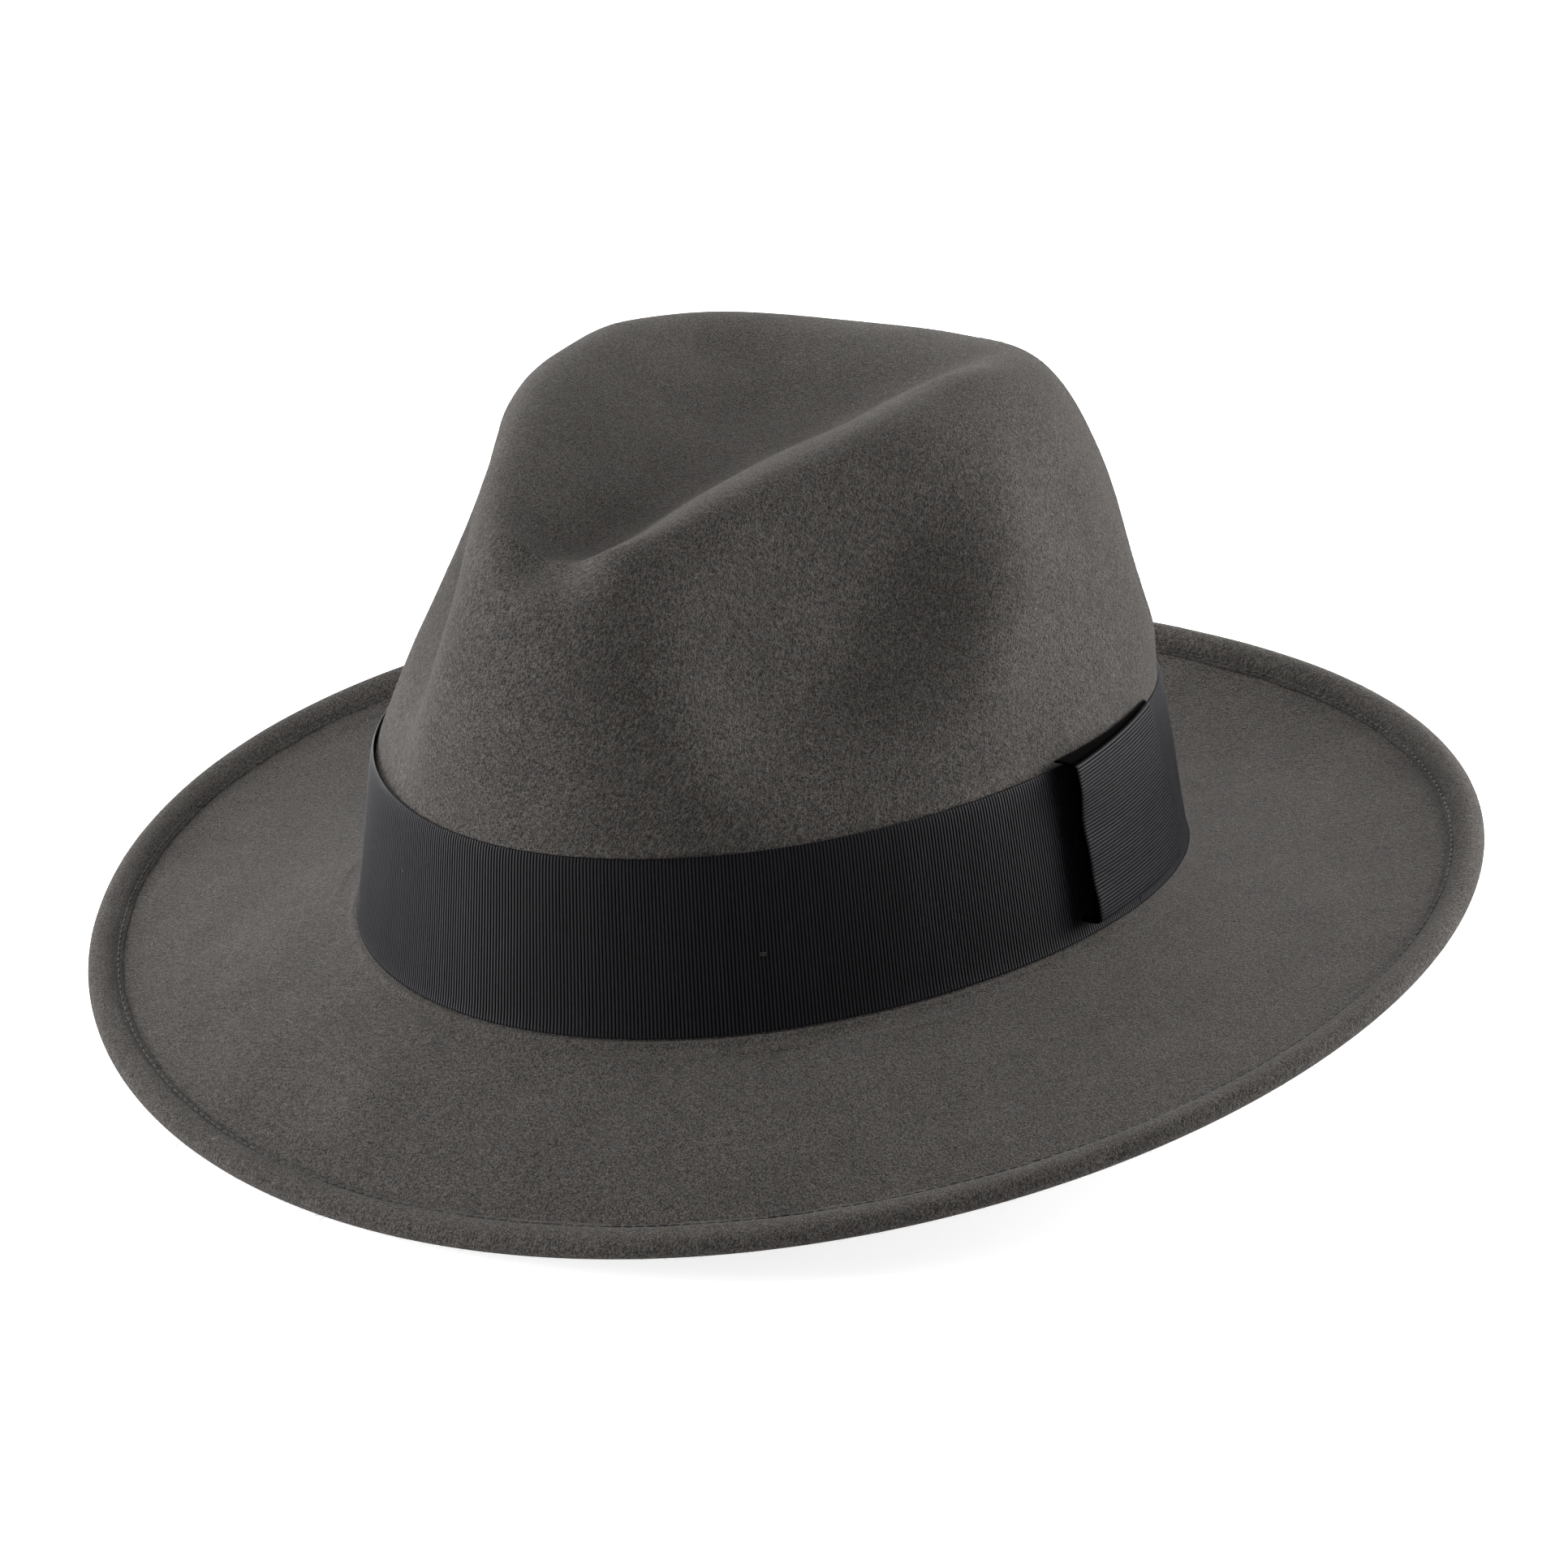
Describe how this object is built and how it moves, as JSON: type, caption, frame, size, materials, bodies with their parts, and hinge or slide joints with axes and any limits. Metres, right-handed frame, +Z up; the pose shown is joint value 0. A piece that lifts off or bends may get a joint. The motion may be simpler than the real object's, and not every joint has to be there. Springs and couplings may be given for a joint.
{
  "type": "fedora hat",
  "caption": "Wool-felt fedora with a creased and pinched crown, snap brim with a stitched folded edge, black grosgrain band with a flat side bow, and fitted inside.",
  "frame": {"origin": "centre of the head opening, in the plane where the crown meets the brim", "axes": "+Z up as worn, the hat's front faces -Y, the wearer's left (bow side) is +X"},
  "size_m": [0.3176, 0.3033, 0.1506],
  "materials": {
    "felt": "wool felt, short raised nap",
    "grosgrain": "ribbed ribbon, soft sheen",
    "thread_dark": "polyester thread",
    "thread_tan": "polyester thread",
    "spring_steel": "drawn wire",
    "crimp_brass": "plain",
    "sweat_leather": "smooth, vegetable tanned",
    "reed_plastic": "plain",
    "reed_tape": "plain weave",
    "seam_tape": "plain weave",
    "satin": "satin",
    "label_cloth": "woven tape, blank"
  },
  "bodies": {
    "hat": {"felt_body": "felt", "brim_wire": "spring_steel", "brim_wire_sleeve": "crimp_brass", "brim_stitch_top": "thread_dark", "brim_stitch_under": "thread_dark", "hat_band": "grosgrain", "bow_wrap": "grosgrain", "band_tacks": "thread_dark", "bow_tacks": "thread_dark", "sweatband": "sweat_leather", "sweatband_reed": "reed_plastic", "sweatband_reed_cover": "reed_tape", "sweatband_stitching": "thread_tan", "sweatband_seam_tape": "seam_tape", "sweatband_back_bow": "grosgrain", "lining_side_panel": "satin", "lining_tip_panel": "satin", "lining_tip_seam": "thread_dark", "label_stitches": "thread_tan"},
    "label": {"size_label": "label_cloth"}
  },
  "joints": [
    {"name": "label_flap", "type": "hinge", "parent": "hat", "child": "label", "pos_m": [0.07606, 0, 0.032], "axis": [0, 1, 0], "range_deg": [0, 120]}
  ]
}
